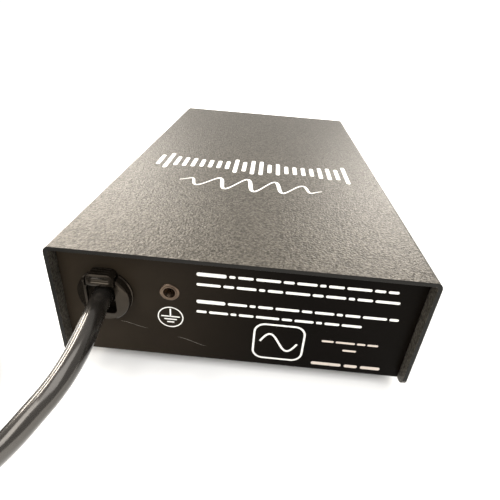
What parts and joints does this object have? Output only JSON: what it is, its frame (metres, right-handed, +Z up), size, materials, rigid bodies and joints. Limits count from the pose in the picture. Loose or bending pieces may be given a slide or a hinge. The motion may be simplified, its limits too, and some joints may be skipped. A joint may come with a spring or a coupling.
{
  "type": "direct injection box",
  "caption": "Sheet-metal direct injection box with a mains lead, jacks, a balanced outlet, a level knob and toggle switches.",
  "frame": {"origin": "bottom centre of the box without its mains lead, on the surface that the rubber feet stand on", "axes": "+Z up, -Y out of the front panel with the controls, +Y out of the rear panel with the mains lead, +X to the right seen from the front"},
  "size_m": [0.2711, 0.3486, 0.057],
  "materials": {
    "panel_black": "satin black enamel",
    "textured_black": "fine wrinkle-textured black powder coat",
    "black_screw": "black oxide",
    "foot_rubber": "matt",
    "zinc_screw": "bright zinc",
    "relief_nylon": "glossy moulded nylon",
    "plated_insert": "dull plated",
    "brass_contact": "bright",
    "earth_insulation": "green with a yellow stripe",
    "wire_insulation": "smooth",
    "cord_vinyl": "glossy flexible vinyl",
    "tie_plastic": "matt",
    "plug_vinyl": "satin moulded vinyl",
    "core_steel": "varnished laminations",
    "winding_wrap": "amber tape over copper",
    "zinc_steel": "zinc plated",
    "board_green": "solder-masked glass fibre",
    "capacitor_sleeve": "heat-shrunk sleeve",
    "film_red": "dipped epoxy",
    "resistor_body": "lacquered with colour bands",
    "diode_black": "moulded epoxy",
    "fuse_glass": "glass tube with nickel caps",
    "socket_ceramic": "unglazed white",
    "tube_glass": "clear",
    "electrode_steel": "carbonised",
    "screening_can": "drawn can",
    "jack_plastic": "moulded",
    "chrome_nut": "nickel plated",
    "outlet_metal": "satin black die casting",
    "insert_plastic": "moulded",
    "pot_steel": "zinc plated",
    "knob_plastic": "moulded with a white pointer",
    "switch_steel": "zinc plated",
    "chrome_lever": "polished",
    "lamp_red": "translucent red"
  },
  "bodies": {
    "root": {"chassis": "panel_black", "cover": "textured_black", "cover_screws": "black_screw", "rubber_foot_1": "foot_rubber", "rubber_foot_2": "foot_rubber", "rubber_foot_3": "foot_rubber", "rubber_foot_4": "foot_rubber", "foot_screws": "zinc_screw", "strain_relief_body": "relief_nylon", "strain_relief_clamp": "relief_nylon", "earth_insert": "plated_insert", "earth_tag": "brass_contact", "earth_screw": "zinc_screw", "earth_wire": "earth_insulation", "mains_wires": "wire_insulation", "mains_cord": "cord_vinyl", "cord_coil": "cord_vinyl", "cord_tie": "tie_plastic", "plug_body": "plug_vinyl", "plug_blades": "brass_contact", "plug_earth_pin": "brass_contact", "transformer_core": "core_steel", "transformer_winding": "winding_wrap", "transformer_strap": "zinc_steel", "transformer_screws": "zinc_screw", "circuit_board": "board_green", "board_standoffs": "brass_contact", "board_screws": "zinc_screw", "filter_capacitors": "capacitor_sleeve", "film_capacitors": "film_red", "resistors": "resistor_body", "rectifier_diodes": "diode_black", "fuse": "fuse_glass", "fuse_clips": "zinc_steel", "tube_bracket": "zinc_steel", "tube_bracket_screws": "zinc_screw", "tube_socket": "socket_ceramic", "tube_envelope": "tube_glass", "tube_electrodes": "electrode_steel", "output_transformer": "screening_can", "input_jack": "jack_plastic", "input_jack_nut": "chrome_nut", "output_jack": "jack_plastic", "output_jack_nut": "chrome_nut", "outlet_shell": "outlet_metal", "outlet_insert": "insert_plastic", "outlet_pins": "brass_contact", "outlet_screws": "black_screw", "level_pot": "pot_steel", "level_nut": "chrome_nut", "lift_switch": "switch_steel", "lift_switch_nut": "chrome_nut", "power_switch": "switch_steel", "power_switch_nut": "chrome_nut", "lamp_bezel": "chrome_nut", "lamp_lens": "lamp_red"},
    "level_control": {"level_shaft": "pot_steel", "level_knob": "knob_plastic"},
    "lift_toggle": {"lift_lever": "chrome_lever"},
    "power_toggle": {"power_lever": "chrome_lever"}
  },
  "joints": [
    {"name": "level_turn", "type": "hinge", "parent": "root", "child": "level_control", "pos_m": [0.035, -0.1224, 0.031], "axis": [0, -1, 0], "range_deg": [-150, 150]},
    {"name": "lift_flip", "type": "hinge", "parent": "root", "child": "lift_toggle", "pos_m": [0.014, -0.1216, 0.031], "axis": [-1, 0, 0], "range_deg": [0, 25]},
    {"name": "power_flip", "type": "hinge", "parent": "root", "child": "power_toggle", "pos_m": [0.057, -0.1216, 0.031], "axis": [-1, 0, 0], "range_deg": [0, 25]}
  ]
}
